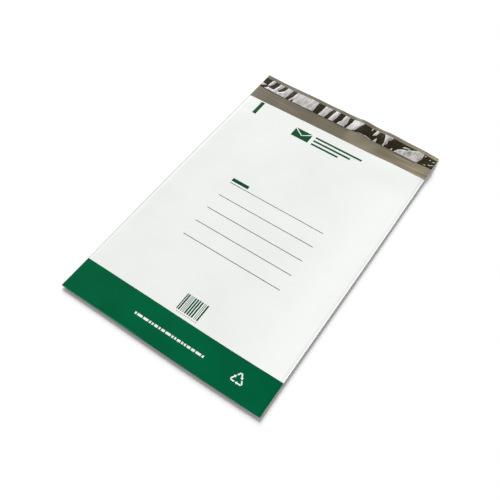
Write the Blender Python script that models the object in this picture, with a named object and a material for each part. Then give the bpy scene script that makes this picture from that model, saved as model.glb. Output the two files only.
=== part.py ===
"""An empty poly mailer bag lying on its back.

One film is folded at the bottom and sealed up both sides, and its back runs past the mouth as a
closing lip. A band of adhesive crosses the lip, and a release liner covers the band.
X runs across the bag, Y from the fold to the end of the lip, Z up from what the bag lies on.
"""

import math

import bmesh
import bpy
from mathutils import Vector

# The film's own sizes, in metres
BAG_WIDTH = 0.250
POCKET_LENGTH = 0.356
LIP_LENGTH = 0.044
FILM_THICKNESS = 0.00008
SEAL_WIDTH = 0.003
FOLD_REACH = 0.0004

# How the bag lies: its edges stand off the floor, and a little air parts front and back
EDGE_HEIGHT = 0.0022
EDGE_CURL = 0.040
SEAL_OPENING = 0.0002
AIR_HEIGHT = 0.0025
LIP_HEIGHT = 0.0021

# The mouth lifts and gapes towards one side
MOUTH_LIFT = 0.0015
MOUTH_GAPE = 0.0010
MOUTH_WAVE_X = 0.068
MOUTH_WAVE_WIDTH = 0.058
MOUTH_WAVE_REACH = 0.045

# A soft ridge across the lip
RIDGE_HEIGHT = 0.0030
RIDGE_X = 0.034
RIDGE_WIDTH = 0.030
LIP_RIPPLE = 0.0003
LIP_RIPPLE_PITCH = 0.062

# Adhesive band and release liner, on the inner face of the lip
LINER_FROM_END = 0.0057
LINER_HEIGHT = 0.0185
LINER_THICKNESS = 0.00006
ADHESIVE_HEIGHT = 0.0145
ADHESIVE_THICKNESS = 0.00005
SIDE_CLEARANCE = 0.0002
SEAT_CLEARANCE = 0.0002

# Print on the front, measured from the fold, the mouth or the centre line
BAND_HEIGHT = 0.042
MARK_WIDTH = 0.005
MARK_LENGTH = 0.023
MARK_FROM_SIDE = 0.0195
MARK_FROM_MOUTH = 0.004
HEADER_LEFT = -0.045
HEADER_FROM_MOUTH = 0.0155
ENVELOPE_WIDTH = 0.024
ENVELOPE_HEIGHT = 0.015
ENVELOPE_FLAP = 0.0085
ENVELOPE_LINE = 0.0012
STRIPE_LEFT = -0.016
STRIPE_LENGTHS = (0.065, 0.052, 0.038)
STRIPE_HEIGHT = 0.0028
STRIPE_PITCH = 0.0061
LINE_LEFT = -0.06175
LINE_LENGTH = 0.128
LINE_WEIGHT = 0.0005
LINE_PITCH = 0.02255
LINE_COUNT = 5
LOWEST_LINE = 0.12725
TAB_LENGTH = 0.023
TAB_HEIGHT = 0.0048
TAB_ABOVE_LINE = 0.0035
BARS_LEFT = -0.011
BARS_BOTTOM = 0.0475
BARS_HEIGHT = 0.0218
BAR_MODULE = 0.0006
BAR_WIDTHS = (1, 1, 2, 1, 3, 1, 1, 2, 1, 2, 1, 3, 2, 1, 1, 2)
BAR_SPACE = 2
DASH_LEFT = -0.042
DASH_BOTTOM = 0.0182
DASH_LENGTH = 0.0032
DASH_HEIGHT = 0.0026
DASH_PITCH = 0.0049
DASH_COUNT = 18
TRIANGLE_X = 0.0865
TRIANGLE_Y = 0.0192
TRIANGLE_RADIUS = 0.0078
TRIANGLE_WEIGHT = 0.0020
TRIANGLE_GAP = 0.0016

# Fineness of the mesh
COLUMN_STEP = 0.0125
ROW_STEP = 0.0125
LIP_ROW_STEP = 0.0075
FOLD_STEPS = 4
CUT_SNAP = 1e-7
SHARP_ANGLE = math.radians(35)

HALF_WIDTH = BAG_WIDTH / 2
BAG_LENGTH = POCKET_LENGTH + LIP_LENGTH
FOLD_Y = -BAG_LENGTH / 2
MOUTH_Y = FOLD_Y + POCKET_LENGTH
LIP_END_Y = MOUTH_Y + LIP_LENGTH
LINER_TOP_Y = LIP_END_Y - LINER_FROM_END
LINER_LOW_Y = LINER_TOP_Y - LINER_HEIGHT
ADHESIVE_LOW_Y = LINER_LOW_Y + (LINER_HEIGHT - ADHESIVE_HEIGHT) / 2
ADHESIVE_TOP_Y = ADHESIVE_LOW_Y + ADHESIVE_HEIGHT

# Material slots of the film
OUTSIDE, INSIDE, INK = range(3)


def ease(t):
    """Smooth step from 0 to 1."""
    t = min(max(t, 0.0), 1.0)
    return t * t * (3.0 - 2.0 * t)


def hill(t):
    """Smooth bump of height 1 at t = 0, level and zero from t = -1 down and from t = 1 up."""
    return (1.0 + math.cos(math.pi * t)) / 2 if abs(t) < 1.0 else 0.0


def inwardness(x, y):
    """0 at the side seals and the fold, 1 from EDGE_CURL inwards."""
    return ease((HALF_WIDTH - abs(x)) / EDGE_CURL) * ease((y - FOLD_Y) / EDGE_CURL)


def mouth_wave(x, y):
    return hill((x - MOUTH_WAVE_X) / MOUTH_WAVE_WIDTH) * hill((y - MOUTH_Y) / MOUTH_WAVE_REACH)


def back_outer(x, y):
    """Underside of the back film, with the lip."""
    along_lip = ease((y - MOUTH_Y) / LIP_LENGTH)
    ripple = LIP_RIPPLE * math.sin(math.tau * x / LIP_RIPPLE_PITCH)
    ridge = RIDGE_HEIGHT * hill((x - RIDGE_X) / RIDGE_WIDTH)
    lying = EDGE_HEIGHT * (1.0 - inwardness(x, y))
    on_lip = LIP_HEIGHT + ripple + ridge
    return lying * (1.0 - along_lip) + on_lip * along_lip + MOUTH_LIFT * mouth_wave(x, y)


def back_inner(x, y):
    return back_outer(x, y) + FILM_THICKNESS


def front_inner(x, y):
    """Underside of the front film. At the seals it lies SEAL_OPENING above the back film."""
    air = AIR_HEIGHT * inwardness(x, y) + MOUTH_GAPE * mouth_wave(x, y)
    return back_inner(x, y) + SEAL_OPENING + air


def front_outer(x, y):
    """Top of the front film. Within the seals both films are fused, with no opening."""
    opening = front_inner(x, y) - back_inner(x, y)
    if abs(x) > HALF_WIDTH - SEAL_WIDTH / 2:
        opening = 0.0
    return back_outer(x, y) + opening + 2 * FILM_THICKNESS


def adhesive_under(x, y):
    return back_inner(x, y) + SEAT_CLEARANCE


def adhesive_top(x, y):
    return adhesive_under(x, y) + ADHESIVE_THICKNESS


def liner_under(x, y):
    return adhesive_top(x, y) + SEAT_CLEARANCE


def liner_top(x, y):
    return liner_under(x, y) + LINER_THICKNESS


def stations(marks, step):
    """Places from the first mark to the last, through every mark and about a step apart."""
    places = [marks[0]]
    for start, end in zip(marks, marks[1:]):
        count = max(1, round((end - start) / step))
        places += [start + (end - start) * i / count for i in range(1, count + 1)]
    return places


def column_stations(side):
    """Columns across the bag, with the seals' inner lines, from -side to side."""
    seal = HALF_WIDTH - SEAL_WIDTH
    return [-side, *stations([-seal, seal], COLUMN_STEP), side]


def add_row(bm, xs, y, height):
    return [bm.verts.new((x, y, height(x, y))) for x in xs]


def fold_rows(bm, xs, y, low, high, reach):
    """Rows of points round a fold, between the heights low and high at y."""
    rows = []
    for step in range(1, FOLD_STEPS):
        turn = math.pi * (step / FOLD_STEPS - 0.5)
        row = []
        for x in xs:
            middle = (low(x, y) + high(x, y)) / 2
            half = (high(x, y) - low(x, y)) / 2
            row.append(bm.verts.new((x, y - reach * math.cos(turn), middle + half * math.sin(turn))))
        rows.append(row)
    return rows


def cover(bm, rows, slot):
    """Fill the cells between rows of points with triangles, all with the same diagonal."""
    faces = []
    for low, high in zip(rows, rows[1:]):
        for i in range(len(low) - 1):
            faces.append(bm.faces.new((low[i], low[i + 1], high[i + 1])))
            faces.append(bm.faces.new((low[i], high[i + 1], high[i])))
    for face in faces:
        face.material_index = slot
    return faces


def column(rows, index):
    return [row[index] for row in rows]


def film_mesh():
    """The film as one closed solid: a pocket open at its mouth, with the lip beyond."""
    bm = bmesh.new()
    printable = bm.faces.layers.int.new("printable")
    xs = column_stations(HALF_WIDTH)
    inner_xs = xs[1:-1]
    fold_line = FOLD_Y + FOLD_REACH
    band_top = FOLD_Y + BAND_HEIGHT
    pocket_ys = stations([fold_line, band_top, MOUTH_Y], ROW_STEP)
    lip_marks = [MOUTH_Y, LINER_LOW_Y, ADHESIVE_LOW_Y, ADHESIVE_TOP_Y, LINER_TOP_Y, LIP_END_Y]
    lip_ys = stations(lip_marks, LIP_ROW_STEP)[1:]

    under = [add_row(bm, xs, y, back_outer) for y in pocket_ys + lip_ys]
    floor = [add_row(bm, inner_xs, y, back_inner) for y in pocket_ys]
    roof = [add_row(bm, inner_xs, y, front_inner) for y in pocket_ys]
    front = [add_row(bm, xs, y, front_outer) for y in pocket_ys]
    seals = [[bm.verts.new((x, y, back_inner(x, y))) for y in pocket_ys] for x in (xs[0], xs[-1])]
    lip = [[seals[0][-1], *floor[-1], seals[1][-1]]]
    lip += [add_row(bm, xs, y, back_inner) for y in lip_ys]
    outer_fold = fold_rows(bm, xs, fold_line, back_outer, front_outer, FOLD_REACH)
    inner_reach = FOLD_REACH - FILM_THICKNESS
    inner_fold = fold_rows(bm, inner_xs, fold_line, back_inner, front_inner, inner_reach)

    cover(bm, under, OUTSIDE)
    for face in cover(bm, front, OUTSIDE):
        face[printable] = 1
    cover(bm, [under[0], *outer_fold, front[0]], OUTSIDE)
    cover(bm, floor, INSIDE)
    cover(bm, roof, INSIDE)
    cover(bm, [floor[0], *inner_fold, roof[0]], INSIDE)
    cover(bm, lip, INSIDE)
    cover(bm, [under[-1], lip[-1]], OUTSIDE)
    cover(bm, [roof[-1], front[-1][1:-1]], OUTSIDE)

    for side, beside, seal in ((0, 1, seals[0]), (-1, -2, seals[1])):
        edge = seal + column(lip[1:], side)
        cover(bm, [column(under, side), edge], OUTSIDE)
        cover(bm, [seal, column(front, side)], OUTSIDE)
        cover(bm, [column(floor, side), column(roof, side)], INSIDE)
        ends = (
            [under[0][side], *column(outer_fold, side), front[0][side], seal[0]],
            [floor[0][side], *column(inner_fold, side), roof[0][side]],
            [seal[-1], floor[-1][side], roof[-1][side], front[-1][beside], front[-1][side]],
        )
        for corners in ends:
            bm.faces.new(corners).material_index = OUTSIDE

    bmesh.ops.recalc_face_normals(bm, faces=bm.faces)
    return bm


def strip_mesh(low_y, top_y, under_height, top_height):
    """A thin strip across the lip, on the same columns and rows as the film below it."""
    bm = bmesh.new()
    xs = column_stations(HALF_WIDTH - SIDE_CLEARANCE)
    marks = [y for y in (LINER_LOW_Y, ADHESIVE_LOW_Y, ADHESIVE_TOP_Y, LINER_TOP_Y) if low_y <= y <= top_y]
    ys = stations(marks, LIP_ROW_STEP)
    under = [add_row(bm, xs, y, under_height) for y in ys]
    top = [add_row(bm, xs, y, top_height) for y in ys]
    cover(bm, under, 0)
    cover(bm, top, 0)
    for side in (0, -1):
        cover(bm, [under[side], top[side]], 0)
        cover(bm, [column(under, side), column(top, side)], 0)
    bmesh.ops.recalc_face_normals(bm, faces=bm.faces)
    return bm


def meets(face, low, high):
    """Whether the face's box, seen from above, meets the box from low to high."""
    for axis in (0, 1):
        places = [vert.co[axis] for vert in face.verts]
        if min(places) > high[axis] or max(places) < low[axis]:
            return False
    return True


def print_shape(bm, outline, slot):
    """Cut a printed shape's outline into the front film and colour what lies inside.

    The outline is convex and runs anticlockwise, seen from above.
    """
    printable = bm.faces.layers.int["printable"]
    corners = [Vector((x, y, 0.0)) for x, y in outline]
    low = [min(corner[axis] for corner in corners) for axis in (0, 1)]
    high = [max(corner[axis] for corner in corners) for axis in (0, 1)]
    touched = [face for face in bm.faces if face[printable] and meets(face, low, high)]
    for start, end in zip(corners, corners[1:] + corners[:1]):
        outward = (end - start).cross(Vector((0.0, 0.0, 1.0)))
        pieces = dict.fromkeys(piece for face in touched for piece in (*face.verts, *face.edges))
        cut = bmesh.ops.bisect_plane(
            bm, geom=[*pieces, *touched], dist=CUT_SNAP, plane_co=start, plane_no=outward
        )
        faces = [piece for piece in cut["geom"] if isinstance(piece, bmesh.types.BMFace)]
        touched = [face for face in faces if (face.calc_center_median() - start).dot(outward) < 0]
    for face in touched:
        face.material_index = slot


def rectangle(left, low, width, height):
    right, top = left + width, low + height
    return [(left, low), (right, low), (right, top), (left, top)]


def stroke(start, end, weight):
    """A straight stroke with square ends from start to end."""
    along = Vector(end) - Vector(start)
    across = Vector((-along.y, along.x)).normalized() * weight / 2
    corners = (Vector(start) - across, Vector(end) - across, Vector(end) + across, Vector(start) + across)
    return [tuple(corner) for corner in corners]


def print_band(bm):
    """The coloured band along the bottom of the front, which runs round the fold as well."""
    printable = bm.faces.layers.int["printable"]
    for face in bm.faces:
        y = face.calc_center_median().y
        on_front = face[printable] and y < FOLD_Y + BAND_HEIGHT
        round_fold = face.material_index == OUTSIDE and y < FOLD_Y + FOLD_REACH
        if on_front or round_fold:
            face.material_index = INK


def print_mark(bm):
    """The mark near a top corner by which a packing machine finds each bag."""
    left = MARK_FROM_SIDE - HALF_WIDTH
    low = MOUTH_Y - MARK_FROM_MOUTH - MARK_LENGTH
    print_shape(bm, rectangle(left, low, MARK_WIDTH, MARK_LENGTH), INK)


def print_header(bm):
    """A plain envelope picture and stripes below the mouth."""
    top = MOUTH_Y - HEADER_FROM_MOUTH
    low = top - ENVELOPE_HEIGHT
    print_shape(bm, rectangle(HEADER_LEFT, low, ENVELOPE_WIDTH, ENVELOPE_HEIGHT), INK)
    middle = (HEADER_LEFT + ENVELOPE_WIDTH / 2, top - ENVELOPE_FLAP)
    for corner in ((HEADER_LEFT, top), (HEADER_LEFT + ENVELOPE_WIDTH, top)):
        left, right = sorted((corner, middle))
        print_shape(bm, stroke(left, right, ENVELOPE_LINE), OUTSIDE)
    for row, length in enumerate(STRIPE_LENGTHS):
        stripe_low = top - STRIPE_HEIGHT - row * STRIPE_PITCH
        print_shape(bm, rectangle(STRIPE_LEFT, stripe_low, length, STRIPE_HEIGHT), INK)


def print_address_lines(bm):
    for row in range(LINE_COUNT):
        low = FOLD_Y + LOWEST_LINE + row * LINE_PITCH - LINE_WEIGHT / 2
        print_shape(bm, rectangle(LINE_LEFT, low, LINE_LENGTH, LINE_WEIGHT), INK)
    print_shape(bm, rectangle(LINE_LEFT, low + TAB_ABOVE_LINE, TAB_LENGTH, TAB_HEIGHT), INK)


def print_bars(bm):
    left = BARS_LEFT
    for width in BAR_WIDTHS:
        print_shape(bm, rectangle(left, FOLD_Y + BARS_BOTTOM, width * BAR_MODULE, BARS_HEIGHT), INK)
        left += (width + BAR_SPACE) * BAR_MODULE


def print_dashes(bm):
    for i in range(DASH_COUNT):
        left = DASH_LEFT + i * DASH_PITCH
        print_shape(bm, rectangle(left, FOLD_Y + DASH_BOTTOM, DASH_LENGTH, DASH_HEIGHT), OUTSIDE)


def print_triangle(bm):
    """The three sides of a recycling triangle, parted at its corners."""
    centre = Vector((TRIANGLE_X, FOLD_Y + TRIANGLE_Y))
    corners = []
    for i in range(3):
        turn = math.radians(90 + 120 * i)
        corners.append(centre + TRIANGLE_RADIUS * Vector((math.cos(turn), math.sin(turn))))
    for start, end in zip(corners, corners[1:] + corners[:1]):
        trim = (end - start).normalized() * (TRIANGLE_WEIGHT + TRIANGLE_GAP) / 2
        print_shape(bm, stroke(start + trim, end - trim, TRIANGLE_WEIGHT), OUTSIDE)


def material(name, colour, roughness):
    made = bpy.data.materials.new(name)
    made.use_nodes = True
    made.diffuse_color = (*colour, 1.0)
    shader = made.node_tree.nodes["Principled BSDF"]
    shader.inputs["Base Color"].default_value = (*colour, 1.0)
    shader.inputs["Roughness"].default_value = roughness
    shader.inputs["Metallic"].default_value = 0.0
    return made


def add_object(name, bm, materials):
    """Make the mesh an object, shaded smooth but for its sharp edges."""
    flat_cells = [face for face in bm.faces if len(face.verts) > 3]
    bmesh.ops.triangulate(bm, faces=flat_cells, quad_method="BEAUTY", ngon_method="BEAUTY")
    mesh = bpy.data.meshes.new(name)
    bm.to_mesh(mesh)
    bm.free()
    mesh.shade_smooth()
    mesh.set_sharp_from_angle(angle=SHARP_ANGLE)
    for made in materials:
        mesh.materials.append(made)
    made_object = bpy.data.objects.new(name, mesh)
    bpy.context.scene.collection.objects.link(made_object)
    return made_object


def build_film_bag():
    bm = film_mesh()
    print_band(bm)
    print_mark(bm)
    print_header(bm)
    print_address_lines(bm)
    print_bars(bm)
    print_dashes(bm)
    print_triangle(bm)
    outside = material("white outer film", (0.86, 0.87, 0.85), 0.38)
    inside = material("taupe inner film", (0.20, 0.18, 0.13), 0.42)
    ink = material("green ink", (0.0, 0.12, 0.042), 0.36)
    return add_object("film_bag", bm, (outside, inside, ink))


def build_adhesive_strip():
    bm = strip_mesh(ADHESIVE_LOW_Y, ADHESIVE_TOP_Y, adhesive_under, adhesive_top)
    return add_object("adhesive_strip", bm, (material("clear adhesive", (0.55, 0.50, 0.36), 0.25),))


def build_release_liner():
    bm = strip_mesh(LINER_LOW_Y, LINER_TOP_Y, liner_under, liner_top)
    return add_object("release_liner", bm, (material("glossy release liner", (0.42, 0.40, 0.34), 0.16),))


def main():
    for old in list(bpy.data.objects):
        bpy.data.objects.remove(old, do_unlink=True)
    bag = bpy.data.objects.new("poly_mailer_bag", None)
    bpy.context.scene.collection.objects.link(bag)
    for piece in (build_film_bag(), build_adhesive_strip(), build_release_liner()):
        piece.parent = bag


main()
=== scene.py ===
# Dresses an empty poly mailer bag, lying on its back with its lip away from the camera.
import math

import bmesh
import bpy
import numpy as np
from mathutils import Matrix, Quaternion, Vector


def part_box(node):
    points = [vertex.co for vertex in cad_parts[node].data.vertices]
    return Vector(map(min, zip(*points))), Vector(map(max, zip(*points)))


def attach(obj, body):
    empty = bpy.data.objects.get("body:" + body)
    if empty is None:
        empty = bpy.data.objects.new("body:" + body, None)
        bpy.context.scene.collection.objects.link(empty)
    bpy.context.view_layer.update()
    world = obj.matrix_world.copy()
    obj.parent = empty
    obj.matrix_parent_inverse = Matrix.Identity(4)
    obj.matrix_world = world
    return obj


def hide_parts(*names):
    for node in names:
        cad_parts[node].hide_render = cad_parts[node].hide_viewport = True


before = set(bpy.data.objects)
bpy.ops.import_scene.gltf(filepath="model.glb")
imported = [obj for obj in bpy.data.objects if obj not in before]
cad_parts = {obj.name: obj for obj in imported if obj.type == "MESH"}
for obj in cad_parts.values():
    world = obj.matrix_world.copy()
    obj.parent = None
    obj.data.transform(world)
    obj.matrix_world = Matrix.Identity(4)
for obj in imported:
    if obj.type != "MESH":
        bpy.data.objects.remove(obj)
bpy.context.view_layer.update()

bagLow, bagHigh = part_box("film_bag")
linerLow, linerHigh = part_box("release_liner")
glueLow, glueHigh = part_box("adhesive_strip")


# Smooth shapes that the heights are made from, on arrays

def ease(t):
    t = np.clip(t, 0.0, 1.0)
    return t * t * (3.0 - 2.0 * t)


def hill(t):  # a bump of height 1 between -1 and 1
    return np.where(np.abs(t) < 1.0, (1.0 + np.cos(np.pi * t)) / 2, 0.0)


def lopsided(distance, left, right):  # a hill with its own reach on each side
    return hill(np.where(distance < 0, distance / left, distance / right))


def softNoise(x, y, pitchX, pitchY, seed):  # smooth noise from -1 to 1
    size = 64
    grid = np.random.default_rng(seed).uniform(-1.0, 1.0, (size, size))
    u, v = x / pitchX + size, y / pitchY + size
    i, j = np.floor(u).astype(int), np.floor(v).astype(int)
    acrossX, acrossY = ease(u - i), ease(v - j)
    low = grid[i % size, j % size] * (1 - acrossX) + grid[(i + 1) % size, j % size] * acrossX
    high = grid[i % size, (j + 1) % size] * (1 - acrossX) + grid[(i + 1) % size, (j + 1) % size] * acrossX
    return low * (1 - acrossY) + high * acrossY


seeds = {  # each field of noise has its own
    "slack": 3, "puckers": 4, "lipWrinkles": 5, "edgeWander": 6, "lipRipple": 8, "ruffle": 9,
    "raggedness": 12, "crinkle": 14, "fineCrinkle": 15, "puff": 16,
}


def places(marks):  # marks are (place, step up to it); the first has no step
    found = [marks[0][0]]
    for (start, _), (end, step) in zip(marks, marks[1:]):
        count = max(1, round((end - start) / step))
        found += [start + (end - start) * i / count for i in range(1, count + 1)]
    return np.array(found)


# Nodes: one class wraps a socket so that Python's operators add Math nodes, and one adds any other node

class Wire:
    def __init__(self, maker, socket):
        self.maker, self.socket = maker, socket

    def math(self, operation, *values):
        return self.maker.add("ShaderNodeMath", {"operation": operation}, dict(enumerate(values)))

    def __add__(self, other):
        return self.math("ADD", self, other)

    def __radd__(self, other):
        return self.math("ADD", other, self)

    def __sub__(self, other):
        return self.math("SUBTRACT", self, other)

    def __rsub__(self, other):
        return self.math("SUBTRACT", other, self)

    def __mul__(self, other):
        return self.math("MULTIPLY", self, other)

    def __rmul__(self, other):
        return self.math("MULTIPLY", other, self)


class Maker:
    def __init__(self, tree):
        self.tree = tree

    def socketOf(self, sockets, key):
        if isinstance(key, int):
            return sockets[key]
        return next(s for s in sockets if s.name == key and s.enabled and not s.is_unavailable)

    def add(self, kind, settings={}, values={}, out=0):
        node = self.tree.nodes.new(kind)
        for name, value in settings.items():
            setattr(node, name, value)
        for key, value in values.items():
            socket = self.socketOf(node.inputs, key)
            for one in value if isinstance(value, list) else [value]:
                if isinstance(one, Wire):
                    self.tree.links.new(one.socket, socket)
                else:
                    socket.default_value = one
        return Wire(self, self.socketOf(node.outputs, out))

    def part(self, where, axis):
        return self.add("ShaderNodeSeparateXYZ", {}, {"Vector": where}, axis)

    def noise(self, where, size, detail=2.0, rough=0.5):  # size is that of one patch, in metres
        values = {"Vector": where, "Scale": 1.0 / size, "Detail": detail, "Roughness": rough}
        return self.add("ShaderNodeTexNoise", {}, values, "Fac")

    def stretched(self, where, scale, turn=0.0):
        values = {"Vector": where, "Scale": scale, "Rotation": (0.0, 0.0, math.radians(turn))}
        return self.add("ShaderNodeMapping", {"vector_type": "POINT"}, values)

    def smooth(self, value, low, high, atLow=0.0, atHigh=1.0):
        values = {"Value": value, "From Min": low, "From Max": high, "To Min": atLow, "To Max": atHigh}
        return self.add("ShaderNodeMapRange", {"interpolation_type": "SMOOTHSTEP"}, values)

    def blendColours(self, share, first, second):
        values = {"Factor": share, "A": self.colour(first), "B": self.colour(second)}
        return self.add("ShaderNodeMix", {"data_type": "RGBA"}, values, "Result")

    def colour(self, value):
        return value if isinstance(value, Wire) else (*value, 1.0)

    def finish(self, shader, kind="ShaderNodeOutputMaterial"):
        output = self.tree.nodes.new(kind)
        self.tree.links.new(shader.socket, output.inputs["Surface"])


def linear(red, green, blue):  # a colour as seen on a screen, from 0 to 255, as shader light
    return tuple(c / 12.92 if c <= 0.04045 else ((c + 0.055) / 1.055) ** 2.4
                 for c in (red / 255, green / 255, blue / 255))


def newMaterial(name):
    made = bpy.data.materials.new(name)
    made.use_nodes = True
    made.node_tree.nodes.clear()
    maker = Maker(made.node_tree)
    return made, maker, maker.add("ShaderNodeTexCoord", out="Object")


def surface(maker, colour, roughness, height, bumpDepth, settings):
    normal = maker.add("ShaderNodeBump", {}, {"Height": height, "Distance": bumpDepth, "Strength": 1.0})
    shader = maker.add("ShaderNodeBsdfPrincipled", {}, {
        "Base Color": colour, "Roughness": roughness, "Normal": normal, **settings})
    maker.finish(shader)


# Materials

filmLook = {
    "white": linear(238, 240, 237), "whiteDeep": linear(235, 237, 234), "paintedSheenRight": linear(245, 247, 244),
    "whiteRightFrom": 0.02, "whiteGloss": 0.06,
    "taupe": linear(117, 109, 93), "taupeDeep": linear(109, 101, 85), "taupeLitRight": linear(133, 124, 105),
    "taupeRightFromTo": (-0.02, 0.12), "taupeGloss": 0.04,
    "paintedBulgeLight": linear(158, 149, 128), "bulgePlace": (0.032, 0.166), "bulgeSquash": 1.7,
    "bulgeFade": (0.004, 0.030),
    "wrinkleHighlight": linear(172, 161, 134), "wrinkleScale": (16.0, 430.0, 1.0), "wrinkleTurn": -3.0,
    "wrinkleLevels": (0.46, 0.62), "wrinkleFromTo": (0.030, 0.118), "wrinkleShares": (0.12, 0.70),
    "green": linear(0, 95, 59), "greenDeep": linear(0, 89, 55), "inkGloss": 0.02,
    "printGreen": linear(0, 78, 44), "printDeep": linear(0, 73, 41),
    "foldHighlightGreen": linear(66, 142, 101), "foldFade": (-0.0001, 0.0009), "foldLeftFade": (-0.06, 0.0),
    "weldLeftShade": linear(208, 210, 207), "weldRightHighlight": linear(250, 252, 249),
    "weldRimShadow": linear(170, 172, 169), "weldRimFade": (-0.0004, 0.0005),
    "shine": 0.28, "shineSpread": 0.12,
    "grain": 0.0011, "cloud": 0.060, "toneLevels": (0.35, 0.65), "streakWidth": 0.006, "streakLength": 0.15,
    "creaseScale": (60.0, 520.0, 1.0), "creaseTurn": 4.0,
    "grainDepth": 0.000008, "creaseDepth": 0.000030,
}


def filmFinish(maker, where, colour, gloss, creases=0.0):  # satin film with fine extrusion streaks
    cloud = maker.noise(where, filmLook["cloud"], 3.0)
    grain = maker.noise(where, filmLook["grain"], 2.0, 0.6)
    scale = (1 / filmLook["streakWidth"], 1 / filmLook["streakLength"], 1.0)
    streak = maker.noise(maker.stretched(where, scale), 1.0, 2.0)
    height = grain + streak
    if creases:
        creased = maker.stretched(where, filmLook["creaseScale"], filmLook["creaseTurn"])
        height = height + maker.noise(creased, 1.0, 3.0, 0.6) * creases
    roughness = filmLook["shine"] + filmLook["shineSpread"] * cloud
    surface(maker, colour, roughness, height, filmLook["grainDepth"], {"Specular IOR Level": gloss})


def tinted(maker, where, pale, deep):  # slow changes of tone
    cloud = maker.noise(where, filmLook["cloud"], 2.0)
    return maker.blendColours(maker.smooth(cloud, *filmLook["toneLevels"]), pale, deep)


def whiteFilmMaterial():
    made, maker, where = newMaterial("white film")
    white = tinted(maker, where, filmLook["white"], filmLook["whiteDeep"])
    # Painted light: the white is painted paler towards the right side, as a sheen
    lighterToRight = maker.smooth(maker.part(where, "X"), filmLook["whiteRightFrom"], bagHigh.x)
    white = maker.blendColours(lighterToRight, white, filmLook["paintedSheenRight"])
    filmFinish(maker, where, white, filmLook["whiteGloss"])
    return made


def taupeFilmMaterial():
    made, maker, where = newMaterial("taupe inner film")
    across = maker.part(where, "X")
    taupe = tinted(maker, where, filmLook["taupe"], filmLook["taupeDeep"])
    # Painted light: the taupe is painted paler towards the right
    lighterToRight = maker.smooth(across, *filmLook["taupeRightFromTo"])
    taupe = maker.blendColours(lighterToRight, taupe, filmLook["taupeLitRight"])
    # Painted light: the film is painted paler over the bulge in the lip
    (bulgeX, bulgeY), squash = filmLook["bulgePlace"], filmLook["bulgeSquash"]
    squashed = maker.stretched(where, (1.0, squash, 0.0))
    fromBulge = maker.add("ShaderNodeVectorMath", {"operation": "DISTANCE"},
                          {0: squashed, 1: (bulgeX, squash * bulgeY, 0.0)}, "Value")
    bulgeLightShare = maker.smooth(fromBulge, *filmLook["bulgeFade"], 1.0, 0.0)
    taupe = maker.blendColours(bulgeLightShare, taupe, filmLook["paintedBulgeLight"])
    # Painted highlights: fine wrinkles along the lip are painted paler, most of all by its right end
    wrinkled = maker.stretched(where, filmLook["wrinkleScale"], filmLook["wrinkleTurn"])
    lines = maker.smooth(maker.noise(wrinkled, 1.0, 2.0, 0.55), *filmLook["wrinkleLevels"])
    byRightEnd = maker.smooth(across, *filmLook["wrinkleFromTo"], *filmLook["wrinkleShares"])
    taupe = maker.blendColours(lines * byRightEnd, taupe, filmLook["wrinkleHighlight"])
    creases = filmLook["creaseDepth"] / filmLook["grainDepth"]
    filmFinish(maker, where, taupe, filmLook["taupeGloss"], creases)
    return made


def greenInkMaterial(name, green, greenDeep):
    made, maker, where = newMaterial(name)
    ink = tinted(maker, where, green, greenDeep)
    # Painted highlight: the green is painted paler where the film turns, mostly on the left
    start, end = filmLook["foldFade"]
    onFold = maker.smooth(maker.part(where, "Y"), bagLow.y + start, bagLow.y + end, 1.0, 0.0)
    onLeft = maker.smooth(maker.part(where, "X"), *filmLook["foldLeftFade"], 1.0, 0.0)
    ink = maker.blendColours(onFold * onLeft, ink, filmLook["foldHighlightGreen"])
    filmFinish(maker, where, ink, filmLook["inkGloss"])
    return made


def weldLightAndShadeMaterial():
    made, maker, where = newMaterial("welded edge light and shade")
    across = maker.part(where, "X")
    # Painted light and shade on the side seals: painted shade on the left, a painted highlight on the right
    lighterToRight = maker.smooth(across, bagLow.x, bagHigh.x)
    weld = maker.blendColours(lighterToRight, filmLook["weldLeftShade"], filmLook["weldRightHighlight"])
    # Painted shadow: a dark line along the left rim
    start, end = filmLook["weldRimFade"]
    onRimShadow = maker.smooth(across, bagLow.x + start, bagLow.x + end, 1.0, 0.0)
    weld = maker.blendColours(onRimShadow, weld, filmLook["weldRimShadow"])
    filmFinish(maker, where, weld, filmLook["whiteGloss"])
    return made


linerLook = {
    # silver and silverDeep: painted reflection of the loose liner; stuck: dark where it lies flat
    "silver": linear(205, 203, 202), "silverDeep": linear(176, 174, 171), "fold": linear(118, 114, 108),
    "stuck": linear(38, 32, 18), "stuckPale": linear(54, 48, 30),
    "edge": 0.12,  # mm to each side of a patch's outline, over which dark turns to light
    "ragged": 0.0016, "raggedDepth": 0.8, "mottle": 0.0024,
    "foldScale": (260.0, 70.0, 1.0), "foldTurn": 12.0, "foldLevels": (0.36, 0.60),
    "shadeLevels": (0.38, 0.62), "shadeShares": (0.15, 1.0), "stuckLevels": (0.40, 0.70),
    "crinkleScale": (420.0, 160.0, 1.0), "crinkleTurn": -14.0, "crinkleDepth": 0.00012,
    "specular": 0.04, "shine": 0.16, "shineSpread": 0.12,
}


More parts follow.
